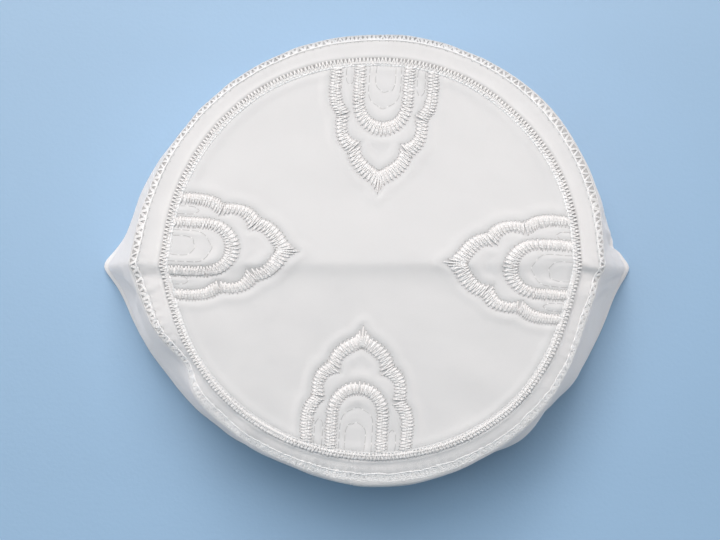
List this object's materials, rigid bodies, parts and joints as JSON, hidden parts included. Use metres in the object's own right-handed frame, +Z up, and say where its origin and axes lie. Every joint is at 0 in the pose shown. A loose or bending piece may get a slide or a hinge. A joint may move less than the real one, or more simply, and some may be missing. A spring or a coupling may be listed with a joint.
{
  "type": "bukhari cap",
  "caption": "Round flat-topped embroidered cotton cap with a stitched crown, turned shoulder and open hollow side band.",
  "frame": {"origin": "middle of the hem's outline at the level that the cap rests on", "axes": "+X along the old storage fold, towards the right-hand corner crease; -Y towards the front, where the side band is joined; +Z up through the crown"},
  "size_m": [0.2043, 0.167, 0.0708],
  "materials": {
    "cotton": "plain-woven white cotton, matt, with faint puckers",
    "thread": "white mercerised cotton thread with a soft sheen"
  },
  "bodies": {
    "root": {"crown_top": "cotton", "side_band": "cotton", "seam_ring": "thread", "shoulder_zigzag": "thread", "lobed_arch_back": "thread", "round_arch_back": "thread", "lobed_arch_left": "thread", "round_arch_left": "thread", "lobed_arch_front": "thread", "round_arch_front": "thread", "lobed_arch_right": "thread", "round_arch_right": "thread"}
  },
  "joints": []
}
